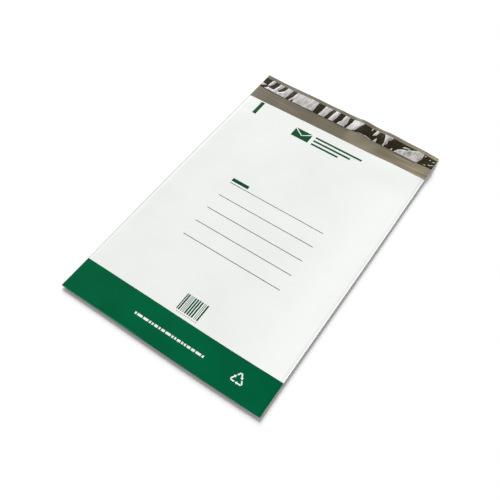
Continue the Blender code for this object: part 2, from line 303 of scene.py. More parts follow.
def linerMaterial():
    made, maker, where = newMaterial("release liner film")
    stuck = maker.add("ShaderNodeAttribute", {"attribute_name": "stuck"}, {}, "Fac")
    shade = maker.add("ShaderNodeAttribute", {"attribute_name": "shade"}, {}, "Fac")
    # Painted reflection: the liner is silver where loose and dark where stuck
    ragged = (maker.noise(where, linerLook["ragged"], 3.0, 0.6) - 0.5) * linerLook["raggedDepth"]
    dark = maker.smooth(stuck + ragged, -linerLook["edge"], linerLook["edge"])
    # Painted shade: the silver greys along stretched folds and in the shaded patches
    folded = maker.stretched(where, linerLook["foldScale"], linerLook["foldTurn"])
    foldShading = maker.smooth(maker.noise(folded, 1.0, 3.0, 0.6), *linerLook["foldLevels"])
    mottle = maker.noise(where, linerLook["mottle"], 3.0, 0.6)
    shade = shade * maker.smooth(mottle, *linerLook["shadeLevels"], *linerLook["shadeShares"])
    silver = maker.blendColours(foldShading, linerLook["silverDeep"], linerLook["silver"])
    silver = maker.blendColours(shade, silver, linerLook["fold"])
    paler = maker.smooth(mottle, *linerLook["stuckLevels"])
    brown = maker.blendColours(paler, linerLook["stuck"], linerLook["stuckPale"])
    crinkled = maker.stretched(where, linerLook["crinkleScale"], linerLook["crinkleTurn"])
    crinkle = maker.noise(crinkled, 1.0, 4.0, 0.6)
    roughness = linerLook["shine"] + linerLook["shineSpread"] * crinkle
    surface(maker, maker.blendColours(dark, silver, brown), roughness, crinkle, linerLook["crinkleDepth"],
            {"Specular IOR Level": linerLook["specular"]})
    return made


glueLook = {
    "pale": linear(196, 186, 160), "deep": linear(172, 160, 130), "lump": 0.0025, "lumpDepth": 0.00006,
    "specular": 0.5, "shine": 0.18, "shineSpread": 0.15,
}


def glueMaterial():
    made, maker, where = newMaterial("hot melt adhesive")
    lumps = maker.noise(where, glueLook["lump"], 3.0, 0.6)
    roughness = glueLook["shine"] + glueLook["shineSpread"] * lumps
    surface(maker, maker.blendColours(lumps, glueLook["pale"], glueLook["deep"]), roughness, lumps,
            glueLook["lumpDepth"], {"Specular IOR Level": glueLook["specular"]})
    return made


whiteFilm = whiteFilmMaterial()
taupeFilm = taupeFilmMaterial()
greenInk = greenInkMaterial("green ink", filmLook["green"], filmLook["greenDeep"])
# Small print reads darker than the band
printInk = greenInkMaterial("small print ink", filmLook["printGreen"], filmLook["printDeep"])
weldLightAndShade = weldLightAndShadeMaterial()
linerFilm = linerMaterial()
hotMelt = glueMaterial()
print("materials ready")


# A closed thin shell from lattices of points

sharpAngle = math.radians(40)


class Shell:
    def __init__(self):
        self.points, self.faces, self.slots, self.count = [], [], [], 0

    def lay(self, x, y, z):  # adds a lattice and returns the numbers of its points
        self.points.append(np.stack([x, y, z], -1).reshape(-1, 3))
        numbers = np.arange(self.count, self.count + x.size).reshape(x.shape)
        self.count += x.size
        return numbers

    def cover(self, lattice, slot):  # slot is a number, or one for each row of cells
        corners = np.stack([lattice[:-1, :-1], lattice[:-1, 1:], lattice[1:, 1:], lattice[1:, :-1]], -1)
        rows = np.broadcast_to(np.asarray(slot).reshape(-1, 1), corners.shape[:2])
        self.faces += corners.reshape(-1, 4).tolist()
        self.slots += rows.reshape(-1).tolist()

    def cap(self, corners, slot):
        self.faces.append([int(corner) for corner in corners])
        self.slots.append(slot)

    def toObject(self, name, materials):
        mesh = bpy.data.meshes.new(name)
        mesh.from_pydata(np.concatenate(self.points).tolist(), [], self.faces)
        mesh.polygons.foreach_set("material_index", self.slots)
        loose = bmesh.new()
        loose.from_mesh(mesh)
        bmesh.ops.recalc_face_normals(loose, faces=loose.faces)
        loose.to_mesh(mesh)
        loose.free()
        for material in materials:
            mesh.materials.append(material)
        mesh.shade_smooth()
        mesh.set_sharp_from_angle(angle=sharpAngle)
        made = bpy.data.objects.new(name, mesh)
        bpy.context.scene.collection.objects.link(made)
        return made


# The film: how it lies, in metres. It keeps near the solid and adds waves and bulges of its own

bag = {
    "pocketLength": 0.356, "film": 0.00008, "seal": 0.003, "foldReach": 0.0004,
    "edgeHeight": 0.0022, "edgeCurl": 0.040, "sealOpening": 0.0002, "air": 0.0019,
    "mouthLift": 0.0005, "mouthGape": 0.0006, "mouthWaveX": 0.092, "mouthWaveWidth": 0.050,
    "mouthWaveReach": 0.045,
    "mouthSlant": 0.0135, "mouthShift": -0.0006, "mouthEnds": 0.0005, "mouthEndsFrom": 0.6,
    "mouthEndsOver": 0.3, "mouthBlend": (0.060, 0.018),
    "leftBow": 0.0008, "leftBowReach": 0.185, "rightBow": 0.0005, "rightBowY": 0.03, "rightBowReach": 0.17,
    "bowFrom": 0.6, "bowOver": 0.4,
    "foldBow": 0.0010, "foldBowX": 0.045, "foldBowReach": (0.15, 0.12), "foldBowDepth": 0.13,
    "backLift": 0.0009, "backLiftReach": 0.07,
    "lipHeight": 0.0017, "lipRise": 0.75, "lipRipple": 0.00012, "lipRipplePitch": 0.009,
    "blister": 0.0015, "blisterX": 0.030, "blisterWidth": 0.021, "blisterReach": 0.019,
    "cornerDrop": 0.0014, "cornerReach": (0.020, 0.014),
    "rightBulge": 0.0014, "rightBulgeY": 0.171, "rightBulgeReach": (0.024, 0.020),
    "bandHeight": 0.0418, "bandWrap": 0.006,
}
# Waves along the lip: place, how far each spreads to the left and right, and height
lipWaves = [(-0.125, 0.020, 0.020, 0.0006), (-0.072, 0.016, 0.016, 0.0003), (-0.050, 0.024, 0.020, 0.0007),
            (-0.012, 0.010, 0.010, 0.0004), (0.021, 0.013, 0.020, 0.0014), (0.044, 0.130, 0.110, 0.0017),
            (0.060, 0.016, 0.026, 0.0009)]
filmDetail = {
    "slack": 0.00012, "slackPitch": (0.040, 0.065), "ruffle": 0.00002, "rufflePitch": (0.016, 0.022),
    "slackRise": 3,  # how much sooner than the air the slack reaches its full height
    "pucker": 0.00010, "puckerPitch": (0.02, 0.011), "puckerStretch": 0.2, "puckerReach": 0.012,
    "puckerStart": 0.004,
    "lipWrinkle": 0.00018, "lipWrinklePitch": (0.05, 0.0026), "lipWrinkleSlope": 0.12,
    "lipWrinkleX": 0.128, "lipWrinkleWidth": 0.036, "lipWrinkleStart": 0.006,
    "edgeWander": 0.00010, "edgeWanderMean": 1.5, "edgeWanderPitch": 0.034, "edgeWanderPower": 8,
    "beadWidth": 0.0005, "bead": 0.00008,
}
filmGrid = {  # where the film is divided finely, and the steps there
    "sideFrom": 0.105, "bulgeFrom": 0.005, "bulgeTo": 0.078, "beadStep": 0.0008, "sealStep": 0.0012,
    "fineStep": 0.0014, "coarseStep": 0.0025,
    "foldLength": 0.003, "foldStep": 0.0007, "wrapStep": 0.0013, "bandStep": 0.0024, "panelStep": 0.0031,
    "mouthLength": 0.04, "mouthStep": 0.0018, "lipStep": 0.0011, "foldTurns": 6,
}
nearly = 1e-6
halfWidth = bagHigh.x
foldY, lipEndY = bagLow.y, bagHigh.y
mouthY = foldY + bag["pocketLength"]
lipLength = lipEndY - mouthY
outsideSlot, insideSlot, inkSlot, weldSlot = range(4)


def inwardness(x, y):  # 0 at the side seals and the fold, 1 in the middle
    return ease((halfWidth - np.abs(x)) / bag["edgeCurl"]) * ease((y - foldY) / bag["edgeCurl"])


def mouthWave(x, y):
    return hill((x - bag["mouthWaveX"]) / bag["mouthWaveWidth"]) * hill((y - mouthY) / bag["mouthWaveReach"])


def puckers(x, y):  # short gathers that run inwards from the side seals
    inside = halfWidth - bag["seal"] - np.abs(x)
    fade = ease(inside / filmDetail["puckerStart"])
    fade = fade * np.exp(-np.maximum(inside, 0) / filmDetail["puckerReach"])
    side = np.where(x < 0, 0.3, 1.7)  # so that the two sides differ
    along = x * filmDetail["puckerStretch"] + side
    gathers = softNoise(along, y, *filmDetail["puckerPitch"], seeds["puckers"])
    return filmDetail["pucker"] * fade * gathers


def lipWrinkles(x, y):  # fine creases along the lip, by its right end
    near = hill((x - filmDetail["lipWrinkleX"]) / filmDetail["lipWrinkleWidth"])
    sloped = y + x * filmDetail["lipWrinkleSlope"]
    across = softNoise(x, sloped, *filmDetail["lipWrinklePitch"], seeds["lipWrinkles"])
    return filmDetail["lipWrinkle"] * near * across * ease((y - mouthY) / filmDetail["lipWrinkleStart"])


def lipEndHeight(x):
    ripple = softNoise(x, x * 0, bag["lipRipplePitch"], 1.0, seeds["lipRipple"])
    height = bag["lipHeight"] + bag["lipRipple"] * ripple
    for place, left, right, rise in lipWaves:
        height = height + rise * lopsided(x - place, left, right)
    return height


def backRise(x, y):  # the back leaves the surface towards the mouth
    return bag["backLift"] * ease((y - mouthY) / bag["backLiftReach"] + 1.0) * inwardness(x, y)


def backUnder(x, y):
    alongLip = ease((y - mouthY) / lipLength / bag["lipRise"])
    lying = bag["edgeHeight"] * (1.0 - inwardness(x, y)) + backRise(x, y)
    blister = hill((x - bag["blisterX"]) / bag["blisterWidth"])
    blister = blister * hill((y - linerLow.y) / bag["blisterReach"])
    wide, deep = bag["rightBulgeReach"]
    rightBulge = bag["rightBulge"] * hill((x - halfWidth) / wide) * hill((y - bag["rightBulgeY"]) / deep)
    reachX, reachY = bag["cornerReach"]
    corner = ease((x - halfWidth + reachX) / reachX) * ease((y - lipEndY + reachY) / reachY)
    height = (lying * (1.0 - alongLip) + lipEndHeight(x) * alongLip + bag["blister"] * blister + rightBulge
              + bag["mouthLift"] * mouthWave(x, y) + lipWrinkles(x, y) - bag["cornerDrop"] * corner)
    return np.maximum(height, 0.0)


def backTop(x, y):
    return backUnder(x, y) + bag["film"]


def frontUnder(x, y):
    inward = inwardness(x, y)
    slack = filmDetail["slack"] * softNoise(x, y, *filmDetail["slackPitch"], seeds["slack"])
    ruffle = filmDetail["ruffle"] * softNoise(x, y, *filmDetail["rufflePitch"], seeds["ruffle"])
    opening = bag["sealOpening"] + bag["air"] * inward + bag["mouthGape"] * mouthWave(x, y) - backRise(x, y)
    rise = ease(inward * filmDetail["slackRise"])
    return backTop(x, y) + opening + (slack + ruffle) * rise + puckers(x, y)


def frontTop(x, y):
    opening = frontUnder(x, y) - backTop(x, y)
    closed = 1.0 - ease((np.abs(x) - (halfWidth - bag["seal"])) / (bag["seal"] * 0.5))
    intoBead = np.abs(x) - halfWidth + filmDetail["beadWidth"]
    bead = filmDetail["bead"] * ease(intoBead / filmDetail["beadWidth"])
    return backUnder(x, y) + opening * closed + 2 * bag["film"] + bead


# The sides stray a little, the sides and the fold bow out, and the mouth was cut at a slant
def laidOut(x, y):
    outwards = np.abs(x) / halfWidth
    drift = filmDetail["edgeWanderMean"] + softNoise(x * 0.1, y, 1.0, filmDetail["edgeWanderPitch"],
                                                     seeds["edgeWander"])
    wander = np.sign(x) * filmDetail["edgeWander"] * drift * ease(outwards ** filmDetail["edgeWanderPower"])
    leftBow = bag["leftBow"] * hill(y / bag["leftBowReach"])
    rightBow = bag["rightBow"] * hill((y - bag["rightBowY"]) / bag["rightBowReach"])
    across = x + wander - leftBow * ease((-x / halfWidth - bag["bowFrom"]) / bag["bowOver"])
    across = across + rightBow * ease((x / halfWidth - bag["bowFrom"]) / bag["bowOver"])
    fromFold = ease(1.0 - (y - foldY) / bag["foldBowDepth"])
    y = y - bag["foldBow"] * lopsided(x - bag["foldBowX"], *bag["foldBowReach"]) * fromFold
    below, above = bag["mouthBlend"]
    near = np.where(y < mouthY, ease((y - mouthY + below) / below), 1.0 - ease((y - mouthY) / above))
    ends = bag["mouthEnds"] * ease((outwards - bag["mouthEndsFrom"]) / bag["mouthEndsOver"])
    return across, y + (bag["mouthShift"] + bag["mouthSlant"] * x - ends) * near


def makeFilm():
    shell = Shell()
    seal = halfWidth - bag["seal"]
    bead = halfWidth - filmDetail["beadWidth"]
    side, fine, coarse = filmGrid["sideFrom"], filmGrid["fineStep"], filmGrid["coarseStep"]
    beadStep, sealStep = filmGrid["beadStep"], filmGrid["sealStep"]
    columns = places([(-halfWidth, 0), (-bead, beadStep), (-seal, sealStep), (-side, fine),
                      (filmGrid["bulgeFrom"], coarse), (filmGrid["bulgeTo"], fine), (side, coarse),
                      (seal, fine), (bead, sealStep), (halfWidth, beadStep)])
    foldLine = foldY + bag["foldReach"]
    bandTop = foldY + bag["bandHeight"]
    pocketRows = places([(foldLine, 0), (foldLine + filmGrid["foldLength"], filmGrid["foldStep"]),
                         (foldY + bag["bandWrap"], filmGrid["wrapStep"]), (bandTop, filmGrid["bandStep"]),
                         (mouthY - filmGrid["mouthLength"], filmGrid["panelStep"]),
                         (mouthY, filmGrid["mouthStep"])])
    lipRows = places([(mouthY, 0), (lipEndY, filmGrid["lipStep"])])[1:]
    sealColumn = int(np.argmin(np.abs(columns - seal)))
    first, last = len(columns) - 1 - sealColumn, sealColumn  # the columns of the pocket's own sides
    allRows = np.concatenate([pocketRows, lipRows])

    def lattice(xs, ys, height):
        x, y = np.meshgrid(xs, ys)
        return shell.lay(*laidOut(x, y), height(x, y))

    inner = columns[first:last + 1]
    under = lattice(columns, allRows, backUnder)
    front = lattice(columns, pocketRows, frontTop)
    floor = lattice(inner, pocketRows, backTop)
    roof = lattice(inner, pocketRows, frontUnder)
    # The seals are solid, so at the mouth their ends meet the lip's top
    leftEnd, rightEnd = columns[:first], columns[last + 1:]
    lipStart = np.concatenate([lattice(leftEnd, [mouthY], backTop)[0], floor[-1],
                               lattice(rightEnd, [mouthY], backTop)[0]])
    lip = np.vstack([lipStart, lattice(columns, lipRows, backTop)])
    leftSeam = np.append(lattice([columns[0]], pocketRows[:-1], backTop)[:, 0], lipStart[0])
    rightSeam = np.append(lattice([columns[-1]], pocketRows[:-1], backTop)[:, 0], lipStart[-1])

    def foldRows(xs, low, high, reach):
        turns = np.pi * (np.arange(1, filmGrid["foldTurns"]) / filmGrid["foldTurns"] - 0.5)
        x, turn = np.meshgrid(xs, turns)
        y = np.full_like(x, foldLine)
        middle, half = (low(x, y) + high(x, y)) / 2, (high(x, y) - low(x, y)) / 2
        across, along = laidOut(x, y)
        return shell.lay(across, along - reach * np.cos(turn), middle + half * np.sin(turn))

    outerFold = foldRows(columns, backUnder, frontTop, bag["foldReach"])
    innerFold = foldRows(inner, backTop, frontUnder, bag["foldReach"] - bag["film"])

    underSlots = np.where(allRows[1:] <= foldY + bag["bandWrap"] + nearly, inkSlot, outsideSlot)
    frontSlots = np.where(pocketRows[1:] <= bandTop + nearly, inkSlot, outsideSlot)
    shell.cover(under, underSlots)
    weldSlots = np.where(frontSlots == inkSlot, inkSlot, weldSlot)
    shell.cover(front[:, 1:-1], frontSlots)
    shell.cover(front[:, :2], weldSlots)
    shell.cover(front[:, -2:], weldSlots)
    shell.cover(np.vstack([under[0], outerFold, front[0]]), inkSlot)
    shell.cover(floor, insideSlot)
    shell.cover(roof, insideSlot)
    shell.cover(np.vstack([floor[0], innerFold, roof[0]]), insideSlot)
    shell.cover(lip, insideSlot)
    shell.cover(np.vstack([under[-1], lip[-1]]), outsideSlot)
    shell.cover(np.vstack([roof[-1], front[-1][first:last + 1]]), outsideSlot)
    edgeSlots = np.where(allRows[1:] <= bandTop + nearly, inkSlot, outsideSlot)
    for side, seam, sealEnd, frontEnd in (
            (0, leftSeam, lipStart[:first + 1], front[-1][:first + 1]),
            (-1, rightSeam, lipStart[last:][::-1], front[-1][last:][::-1])):
        edge = np.append(seam, lip[1:, side])
        shell.cover(np.stack([under[:, side], edge], 1), edgeSlots)
        shell.cover(np.stack([seam, front[:, side]], 1), weldSlots)
        shell.cover(np.stack([floor[:, side], roof[:, side]], 1), insideSlot)
        shell.cap([under[0][side], *outerFold[:, side], front[0][side], seam[0]], inkSlot)
        shell.cap([floor[0][side], *innerFold[:, side], roof[0][side]], insideSlot)
        shell.cap([*sealEnd, roof[-1][side], *frontEnd[::-1]], outsideSlot)
    return shell.toObject("bagFilm", [whiteFilm, taupeFilm, greenInk, weldLightAndShade])


bagFilm = makeFilm()
print("film:", len(bagFilm.data.polygons), "faces")


# The adhesive and the liner follow the top of the lip

strip = {
    "filmGap": 0.00004, "glue": 0.00005, "linerGap": 0.00003, "liner": 0.00006,
    "spread": 0.3, "raggedness": 0.35, "raggedPitch": (0.003, 0.004),
    "puff": 0.00045, "puffSpread": 0.25, "puffPitch": (0.009, 0.011), "puffOver": 2.2,
    "crinkle": 0.00014, "crinklePitch": (0.0035, 0.012), "crinkleSlant": 0.25,
    "fineShare": 0.5, "finePitch": (0.0019, 0.005), "fineSlant": -0.3,
    "glueStep": 0.0018, "linerStep": 0.0006,
}
# Where the liner is stuck down it is painted dark, and where loose silver: a painted reflection
# Corners in mm, from the bag's left side and the liner's lower edge
stuckPatches = [
    [(-1.0, 7.6), (8.2, 7.6), (8.9, 9.5), (9.6, 19.5), (-1.0, 19.5)],
    [(8.0, 8.8), (9.6, 6.0), (9.2, 3.2), (6.0, -0.2), (4.0, -1.0), (-1.0, -1.0), (-1.0, 1.5), (3.4, 3.2),
     (6.9, 6.0)],
    [(15.4, 19.5), (14.2, 12.0), (12.6, 8.0), (10.8, 6.2), (11.4, 4.8), (18.6, 4.6), (20.2, 7.5),
     (21.9, 19.5)],
    [(29.3, 19.5), (27.9, 13.5), (24.8, 7.0), (26.4, 4.6), (30.0, 7.2), (33.0, 12.2), (34.2, 19.5)],
    [(42.2, 19.5), (41.2, 9.0), (39.4, -1.0), (44.4, -1.0), (47.2, 9.0), (48.9, 19.5)],
    [(47.4, -1.0), (48.0, 1.8), (49.4, 3.4), (50.6, -1.0)],
    [(81.7, -1.0), (89.2, -1.0), (90.4, 8.0), (91.6, 19.5), (81.8, 19.5)],
    [(98.7, -1.0), (104.0, -1.0), (105.6, 9.0), (106.9, 19.5), (103.5, 19.5), (100.4, 10.5)],
    [(111.6, -1.0), (116.4, -1.0), (119.9, 8.0), (121.3, 19.5), (113.9, 19.5), (113.2, 9.0)],
    [(128.0, -1.0), (130.6, -1.0), (132.6, 8.0), (133.9, 19.5), (127.9, 19.5), (128.9, 5.5)],
    [(138.0, -1.0), (142.4, 2.2), (145.4, 9.0), (149.0, 19.5), (176.2, 19.5), (179.2, 14.5), (181.6, 8.5),
     (182.4, -1.0)],
    [(190.4, 19.5), (189.4, 15.0), (186.0, 11.0), (186.6, 8.0), (187.0, 5.0), (184.6, 1.6), (185.0, -1.0),
     (197.8, -1.0), (201.0, 5.6), (206.0, 9.4), (212.0, 11.4), (213.0, 13.6), (222.5, 17.8), (221.0, 19.5)],
    [(230.4, -1.0), (231.8, 5.0), (233.4, 10.0), (232.4, 19.5), (251.0, 19.5), (251.0, -1.0)],
]
# Slivers inside those patches where it has come loose again
loosePatches = [
    [(159.7, 19.5), (160.6, 11.6), (162.6, 19.5)],
    [(166.9, 19.5), (165.6, 13.0), (164.8, 6.4), (169.4, 11.0), (171.1, 19.5)],
    [(168.0, -1.0), (171.8, 7.2), (173.6, -1.0)],
    [(176.9, 12.0), (178.4, 13.0), (178.0, 11.4)],
    [(143.0, -1.0), (150.0, 0.7), (158.0, 1.1), (166.0, 0.7), (168.0, -1.0)],
    [(193.4, -1.0), (195.2, 4.6), (196.4, -1.0)],
    [(205.2, 11.6), (207.0, 14.2), (214.6, 16.4), (213.6, 13.8)],
    [(241.5, 5.2), (245.0, 6.3), (249.4, 8.9), (249.2, 7.4), (244.6, 4.6)],
    [(245.2, 12.9), (248.8, 15.2), (248.4, 12.6)],
    [(240.2, 13.2), (242.6, 14.6), (243.4, 13.4)],
    [(237.4, 2.2), (241.0, 3.0), (240.6, 1.8)],
    [(233.6, 16.0), (236.2, 17.2), (235.4, 14.8)],
    [(236.0, 7.6), (239.6, 8.0), (238.8, 6.8)],
]
# Painted shade in patches of the loose stretches: middle and reach, along and across in mm, and how dark
hollowShades = [
    (52.0, 12.0, 3.4, 6.0, 0.75), (60.6, 13.0, 1.9, 8.0, 0.70), (59.5, 2.5, 3.2, 3.0, 0.45),
    (66.5, 8.0, 2.6, 9.0, 0.25),
    (186.5, 15.5, 5.5, 4.0, 0.75), (183.5, 4.0, 1.6, 5.0, 0.35), (216.5, 7.5, 4.5, 5.0, 0.65),
    (211.5, 4.0, 1.8, 4.5, 0.50), (230.8, 8.0, 3.4, 13.0, 1.00), (221.4, 12.0, 1.2, 8.0, 0.60),
    (215.0, 10.0, 8.0, 8.0, 0.55), (246.5, 9.0, 6.0, 7.0, 0.80), (234.8, 16.0, 3.0, 3.0, 0.70),
    (24.0, 13.0, 2.2, 8.0, 0.30), (95.5, 9.0, 2.4, 12.0, 0.30), (124.0, 8.0, 2.2, 9.0, 0.35),
    (139.0, 10.0, 2.6, 9.0, 0.25), (10.6, 13.0, 1.6, 7.0, 0.30), (36.5, 10.0, 2.4, 9.0, 0.22),
]


def insideOf(corners, x, y):  # distance inside a polygon, or less than zero outside it
    nearest = np.full(x.shape, 1e9)
    crossings = np.zeros(x.shape, int)
    for (ax, ay), (bx, by) in zip(corners, corners[1:] + corners[:1]):
        dx, dy = bx - ax, by - ay
        share = np.clip(((x - ax) * dx + (y - ay) * dy) / (dx * dx + dy * dy), 0.0, 1.0)
        nearest = np.minimum(nearest, np.hypot(x - ax - share * dx, y - ay - share * dy))
        if ay != by:
            crossings += ((ay > y) != (by > y)) & (x < ax + (y - ay) * dx / dy)
    return np.where(crossings % 2 == 1, nearest, -nearest)


def inStripMillimetres(x, y):
    return (x - bagLow.x) * 1000, (y - linerLow.y) * 1000


def howStuck(x, y):  # mm inside the nearest stuck patch, or less than zero outside all
    along, across = inStripMillimetres(x, y)
    stuck = np.max([insideOf(corners, along, across) for corners in stuckPatches], axis=0)
    loose = np.max([insideOf(corners, along, across) for corners in loosePatches], axis=0)
    ragged = strip["raggedness"] * softNoise(x, y, *strip["raggedPitch"], seeds["raggedness"])
    return np.minimum(stuck + strip["spread"], -loose) + ragged


def howShaded(x, y):
    along, across = inStripMillimetres(x, y)
    depth = sum(deep * hill((along - midX) / reachX) * hill((across - midY) / reachY)
                for midX, midY, reachX, reachY, deep in hollowShades)
    return np.clip(depth, 0.0, 1.0)


def glueUnder(x, y):
    return backTop(x, y) + strip["filmGap"]


def glueTop(x, y):
    return glueUnder(x, y) + strip["glue"]


def linerUnder(x, y):
    loose = ease(-howStuck(x, y) / strip["puffOver"])
    waves = softNoise(x, y, *strip["puffPitch"], seeds["puff"])
    puff = strip["puff"] * (1.0 - strip["puffSpread"] + strip["puffSpread"] * waves)
    crinkle = softNoise(x + y * strip["crinkleSlant"], y, *strip["crinklePitch"], seeds["crinkle"])
    fine = softNoise(x + y * strip["fineSlant"], y, *strip["finePitch"], seeds["fineCrinkle"])
    lift = loose * (puff + strip["crinkle"] * (crinkle + strip["fineShare"] * fine))
    return glueTop(x, y) + strip["linerGap"] + lift


def makeStrip(name, low, high, step, underHeight, thickness, material):
    shell = Shell()
    x, y = np.meshgrid(places([(low.x, 0), (high.x, step)]), places([(low.y, 0), (high.y, step)]))
    z = underHeight(x, y)
    across, along = laidOut(x, y)
    under, top = shell.lay(across, along, z), shell.lay(across, along, z + thickness)
    shell.cover(under, 0)
    shell.cover(top, 0)
    for side in (0, -1):
        shell.cover(np.vstack([under[side], top[side]]), 0)
        shell.cover(np.stack([under[:, side], top[:, side]], 1), 0)
    return shell.toObject(name, [material])


adhesive = makeStrip("adhesiveBand", glueLow, glueHigh, strip["glueStep"], glueUnder, strip["glue"], hotMelt)
liner = makeStrip("releaseLiner", linerLow, linerHigh, strip["linerStep"], linerUnder, strip["liner"],
                  linerFilm)
spots = np.empty(len(liner.data.vertices) * 3, np.float32)
liner.data.vertices.foreach_get("co", spots)
spots = spots.reshape(-1, 3).astype(float)
for name, measure in (("stuck", howStuck), ("shade", howShaded)):
    field = liner.data.attributes.new(name, "FLOAT", "POINT")
    field.data.foreach_set("value", measure(spots[:, 0], spots[:, 1]).astype(np.float32))
print("strip:", len(liner.data.polygons), "faces on the liner")


# Print: flat shapes and rows of marks, pressed onto the front film by Geometry Nodes

printing = {
    "inkThickness": 0.00002, "inkLift": 0.00002, "fineness": 3, "dropFrom": 0.1, "mergeWithin": 0.000002,
    "headerLeft": -0.045, "headerFromMouth": 0.0155,
    "envelope": (0.024, 0.015), "flapDepth": 0.0080, "flapGap": 0.0012, "flapInset": 0.6,
    "stripeLeft": -0.016, "stripeLengths": (0.065, 0.052, 0.038), "stripeHeight": 0.0028,
    "stripePitch": 0.0061,
    "mark": (0.005, 0.023), "markFromSide": 0.0195, "markFromMouth": 0.004,
    "tab": (0.023, 0.0048), "tabAboveLine": 0.0035,
    "triangleX": 0.0862, "triangleY": 0.0198, "triangleRadius": 0.0081, "triangleWeight": 0.0015,
    "triangleBend": 1.8,  # half widths; under 1.73 the inner sides would cross
    "arrowTail": 0.62, "arrowNeck": 0.40,  # shares of the side before and the side after a corner
    "arrowHead": (2.3, 3.2),  # half widths from the middle to each barb, and from the neck to the tip
}
# Rows of marks. Start is where each begins, across from the middle and up from the fold
lineRow = {"Count": 5, "Module": 0.0008, "Widths": 1, "Gap": 0.02175, "Spread": 0.0, "Height": 0.128,
           "Cells": 12, "Seed": 1, "Start": (0.0659, 0.12725),
           "Turn": (0.0, 0.0, math.radians(90))}  # runs upwards, and each line reaches to the left
barRow = {"Count": 12, "Module": 0.0006, "Widths": 3, "Gap": 0.00115, "Spread": 0.4, "Height": 0.0213,
          "Cells": 4, "Seed": 14, "Start": (-0.011, 0.0476)}
tickRow = {"Count": 11, "Module": 0.0011, "Widths": 1, "Gap": 0.0013, "Spread": 0.0, "Height": 0.0007,
           "Cells": 2, "Seed": 1, "Start": (-0.0088, 0.0451)}
dashRow = {"Count": 18, "Module": 0.0021, "Widths": 3, "Gap": 0.0013, "Spread": 0.0, "Height": 0.0027,
           "Cells": 2, "Seed": 6, "Start": (-0.042, 0.0180)}


def newTree(name, inputs):
    tree = bpy.data.node_groups.new(name, "GeometryNodeTree")
    tree.interface.new_socket("Geometry", in_out="INPUT", socket_type="NodeSocketGeometry")
    for label, kind in inputs:
        tree.interface.new_socket(label, in_out="INPUT", socket_type="NodeSocket" + kind)
    tree.interface.new_socket("Geometry", in_out="OUTPUT", socket_type="NodeSocketGeometry")
    maker = Maker(tree)
    entry = tree.nodes.new("NodeGroupInput")
    sockets = {s.name: Wire(maker, s) for s in entry.outputs if s.name}
    return tree, maker, sockets


def closeTree(maker, result):
    leaving = maker.tree.nodes.new("NodeGroupOutput")
    maker.tree.links.new(result.socket, leaving.inputs["Geometry"])


def markRowTree():  # a row of marks along X, of one width or of 1 to Widths modules each
    tree, maker, given = newTree("markRow", [
        ("Count", "Int"), ("Module", "Float"), ("Widths", "Int"), ("Gap", "Float"), ("Spread", "Float"),
        ("Height", "Float"), ("Cells", "Int"), ("Seed", "Int"), ("Start", "Vector"), ("Turn", "Vector")])
    line = maker.add("GeometryNodeMeshLine", {"mode": "OFFSET"},
                     {"Count": given["Count"], "Offset": (0, 0, 0)})
    units = maker.add("FunctionNodeRandomValue", {"data_type": "INT"},
                      {"Min": 1, "Max": given["Widths"], "Seed": given["Seed"]}, "Value")
    width = units * given["Module"]
    least, most = 1.0 - given["Spread"], 1.0 + given["Spread"]
    stray = maker.add("FunctionNodeRandomValue", {"data_type": "FLOAT"},
                      {"Min": least, "Max": most, "Seed": given["Seed"] + 1}, "Value")
    before = maker.add("GeometryNodeAccumulateField", {"data_type": "FLOAT"},
                       {"Value": width + given["Gap"] * stray}, "Trailing")
    middle = maker.add("ShaderNodeCombineXYZ", {}, {"X": before + width * 0.5, "Y": given["Height"] * 0.5})
    spread = maker.add("GeometryNodeSetPosition", {}, {"Geometry": line, "Position": middle})
    cell = maker.add("GeometryNodeMeshGrid", {}, {"Size X": 1.0, "Size Y": 1.0, "Vertices X": 2,
                                                  "Vertices Y": given["Cells"]}, "Mesh")
    scale = maker.add("ShaderNodeCombineXYZ", {}, {"X": width, "Y": given["Height"], "Z": 1.0})
    marks = maker.add("GeometryNodeInstanceOnPoints", {},
                      {"Points": spread, "Instance": cell, "Scale": scale})
    marks = maker.add("GeometryNodeRealizeInstances", {}, {"Geometry": marks})
    marks = maker.add("GeometryNodeTransform", {}, {"Geometry": marks, "Translation": given["Start"],
                                                    "Rotation": given["Turn"]})
    closeTree(maker, maker.add("GeometryNodeJoinGeometry", {}, {"Geometry": [marks, given["Geometry"]]}))
    return tree


def pressTree():  # drops flat shapes onto the film and gives the ink its thickness
    tree, maker, given = newTree("pressOnFilm", [
        ("Film", "Object"), ("Fineness", "Int"), ("Lift", "Float"), ("Thickness", "Float"),
        ("Ink", "Material")])
    shapes = maker.add("GeometryNodeSubdivideMesh", {},
                       {"Mesh": given["Geometry"], "Level": given["Fineness"]})
    film = maker.add("GeometryNodeObjectInfo", {"transform_space": "ORIGINAL"},
                     {"Object": given["Film"]}, "Geometry")
    place = maker.add("GeometryNodeInputPosition")
    above = maker.add("ShaderNodeVectorMath", {"operation": "ADD"},
                      {0: place, 1: (0, 0, printing["dropFrom"])})
    hit = maker.add("GeometryNodeRaycast", {}, {
        "Target Geometry": film, "Source Position": above, "Ray Direction": (0, 0, -1), "Ray Length": 1.0},
        "Hit Position")
    lift = maker.add("ShaderNodeCombineXYZ", {}, {"Z": given["Lift"]})
    laid = maker.add("GeometryNodeSetPosition", {}, {"Geometry": shapes, "Position": hit, "Offset": lift})
    raised = maker.add("GeometryNodeExtrudeMesh", {"mode": "FACES"}, {
        "Mesh": laid, "Offset": (0, 0, 1), "Offset Scale": given["Thickness"], "Individual": False}, "Mesh")
    under = maker.add("GeometryNodeFlipFaces", {}, {"Mesh": laid})
    whole = maker.add("GeometryNodeJoinGeometry", {}, {"Geometry": [raised, under]})
    whole = maker.add("GeometryNodeMergeByDistance", {}, {
        "Geometry": whole, "Distance": printing["mergeWithin"]})
    whole = maker.add("GeometryNodeRealizeInstances", {}, {"Geometry": whole})
    closeTree(maker, maker.add("GeometryNodeSetMaterial", {}, {"Geometry": whole, "Material": given["Ink"]}))
    return tree


